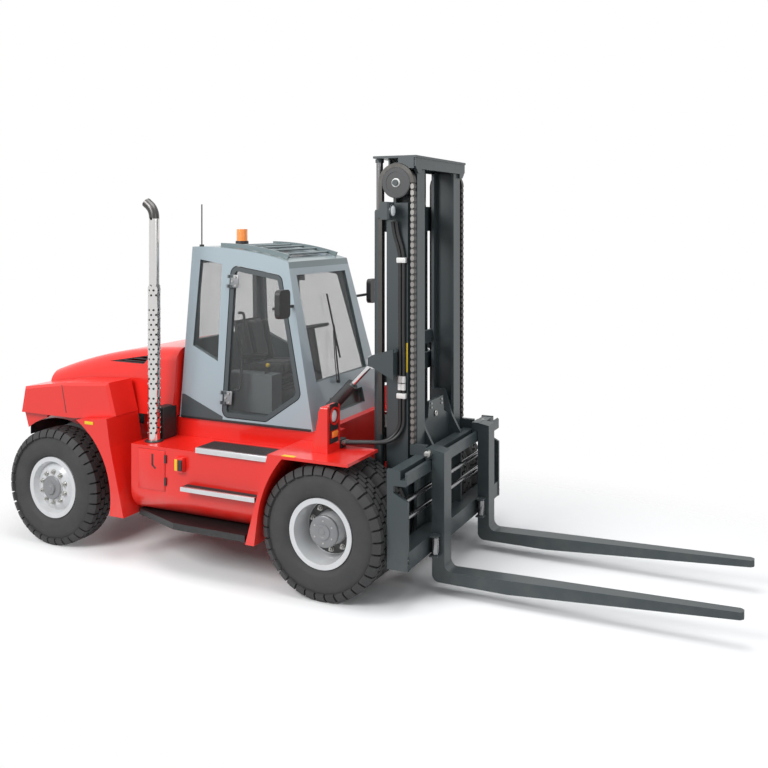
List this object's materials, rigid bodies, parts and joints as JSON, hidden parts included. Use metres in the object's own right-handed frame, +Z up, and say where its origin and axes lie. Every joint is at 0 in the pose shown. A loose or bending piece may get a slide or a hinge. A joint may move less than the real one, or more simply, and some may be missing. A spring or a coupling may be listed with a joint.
{
  "type": "heavy counterbalance forklift truck",
  "caption": "Heavy counterbalance forklift with a two-stage tilting mast, twin front wheels, steered rear wheels, glazed cab and sliding forks.",
  "frame": {"origin": "on the ground under the middle of the truck's overall length and width", "axes": "+X forward along the forks, +Y to the operator's left, +Z up"},
  "size_m": [6.705, 2.5, 3.652],
  "materials": {
    "red_paint": "gloss red body paint",
    "cab_paint": "gloss light blue-grey cab paint",
    "mast_paint": "satin dark grey-green mast paint",
    "rim_paint": "light grey wheel paint",
    "frame_paint": "satin black frame paint",
    "tyre": "black tyre rubber",
    "glass": "grey tinted safety glass",
    "chrome": "hard chromed rod",
    "steel": "bright steel",
    "black_plastic": "black plastic",
    "grey_plastic": "grey plastic",
    "amber": "amber lens",
    "cloth": "black seat cloth",
    "aluminium": "ribbed aluminium tread"
  },
  "bodies": {
    "chassis": {"beacon": "amber", "cab_console": "grey_plastic", "cab_fittings": "black_plastic", "cab_frame": "cab_paint", "cab_roof": "cab_paint", "cab_windows": "glass", "chassis_frame": "red_paint", "counterweight": "red_paint", "drive_axle": "frame_paint", "engine_block": "frame_paint", "exhaust_stack": "chrome", "front_fenders": "red_paint", "headlamps": "red_paint", "rear_fenders": "red_paint", "roof_guard": "frame_paint", "seat": "cloth", "side_tanks": "red_paint", "steer_axle": "frame_paint", "steering_column": "black_plastic", "steps": "aluminium", "windscreen": "glass"},
    "carriage": {"carriage_bars": "chrome", "carriage_frame": "mast_paint", "carriage_rollers": "steel"},
    "inner_mast": {"chain_front_runs": "steel", "chain_rear_runs": "steel", "chain_sheaves": "steel", "inner_mast": "mast_paint", "lift_rods": "chrome"},
    "door_left": {"door_left": "frame_paint", "door_left_glass": "glass"},
    "door_right": {"door_right": "frame_paint", "door_right_glass": "glass"},
    "fork_left": {"fork_left": "mast_paint"},
    "fork_right": {"fork_right": "mast_paint"},
    "front_left_wheels": {"front_left_rims": "rim_paint", "front_left_tyres": "tyre"},
    "front_right_wheels": {"front_right_rims": "rim_paint", "front_right_tyres": "tyre"},
    "hood": {"hood": "red_paint", "hood_grilles": "black_plastic"},
    "knuckle_left": {"knuckle_left": "frame_paint"},
    "knuckle_right": {"knuckle_right": "frame_paint"},
    "outer_mast": {"lift_barrels": "mast_paint", "outer_mast": "mast_paint", "work_lamps": "mast_paint"},
    "rear_left_wheel": {"rear_left_rim": "rim_paint", "rear_left_tyre": "tyre"},
    "rear_right_wheel": {"rear_right_rim": "rim_paint", "rear_right_tyre": "tyre"},
    "tilt_barrels": {"tilt_barrels": "frame_paint"},
    "tilt_rods": {"tilt_rods": "chrome"}
  },
  "joints": [
    {"name": "front_left_spin", "type": "hinge", "parent": "chassis", "child": "front_left_wheels", "pos_m": [0.1875, 1.085, 0.552], "axis": [0, 1, 0], "continuous": true},
    {"name": "front_right_spin", "type": "hinge", "parent": "chassis", "child": "front_right_wheels", "pos_m": [0.1875, -1.085, 0.552], "axis": [0, 1, 0], "continuous": true},
    {"name": "steer_left", "type": "hinge", "parent": "chassis", "child": "knuckle_left", "pos_m": [-2.7625, 0.86, 0.552], "axis": [0, 0, 1], "range_deg": [-65, 65]},
    {"name": "rear_left_spin", "type": "hinge", "parent": "knuckle_left", "child": "rear_left_wheel", "pos_m": [-2.7625, 1.05, 0.552], "axis": [0, 1, 0], "continuous": true},
    {"name": "steer_right", "type": "hinge", "parent": "chassis", "child": "knuckle_right", "pos_m": [-2.7625, -0.86, 0.552], "axis": [0, 0, 1], "range_deg": [-65, 65]},
    {"name": "rear_right_spin", "type": "hinge", "parent": "knuckle_right", "child": "rear_right_wheel", "pos_m": [-2.7625, -1.05, 0.552], "axis": [0, 1, 0], "continuous": true},
    {"name": "mast_tilt", "type": "hinge", "parent": "chassis", "child": "outer_mast", "pos_m": [0.4125, 0, 0.56], "axis": [0, 1, 0], "range_deg": [-10, 5]},
    {"name": "mast_lift", "type": "slide", "parent": "outer_mast", "child": "inner_mast", "axis": [0, 0, 1], "range_m": [0, 1.9]},
    {"name": "carriage_lift", "type": "slide", "parent": "inner_mast", "child": "carriage", "axis": [0, 0, 1], "range_m": [0, 1.9], "deforming": ["chain_front_runs"]},
    {"name": "fork_left_slide", "type": "slide", "parent": "carriage", "child": "fork_left", "axis": [0, -1, 0], "range_m": [-0.36, 0.24]},
    {"name": "fork_right_slide", "type": "slide", "parent": "carriage", "child": "fork_right", "axis": [0, 1, 0], "range_m": [-0.36, 0.24]},
    {"name": "tilt_barrel_swing", "type": "hinge", "parent": "chassis", "child": "tilt_barrels", "pos_m": [-0.0775, 0, 1.4], "axis": [0, 1, 0], "range_deg": [-15, 7.5]},
    {"name": "tilt_rod_slide", "type": "slide", "parent": "tilt_barrels", "child": "tilt_rods", "axis": [0.6998, 0, 0.7144], "range_m": [-0.17, 0.09]},
    {"name": "door_left_open", "type": "hinge", "parent": "chassis", "child": "door_left", "pos_m": [-1.1245, 0.743, 1.25], "axis": [0, -0.1049, 0.9945], "range_deg": [0, 80]},
    {"name": "door_right_open", "type": "hinge", "parent": "chassis", "child": "door_right", "pos_m": [-1.1245, -0.743, 1.25], "axis": [0, -0.1049, -0.9945], "range_deg": [0, 80]},
    {"name": "hood_open", "type": "hinge", "parent": "chassis", "child": "hood", "pos_m": [-3.1375, 0, 1.32], "axis": [0, -1, 0], "range_deg": [0, 50]}
  ],
  "couplings": [
    {"joint": "steer_right", "follows": "steer_left", "ratio": 1},
    {"joint": "carriage_lift", "follows": "mast_lift", "ratio": 1},
    {"joint": "tilt_barrel_swing", "follows": "mast_tilt", "ratio": 1.4874},
    {"joint": "tilt_rod_slide", "follows": "mast_tilt", "m_per_rad": 0.905}
  ]
}
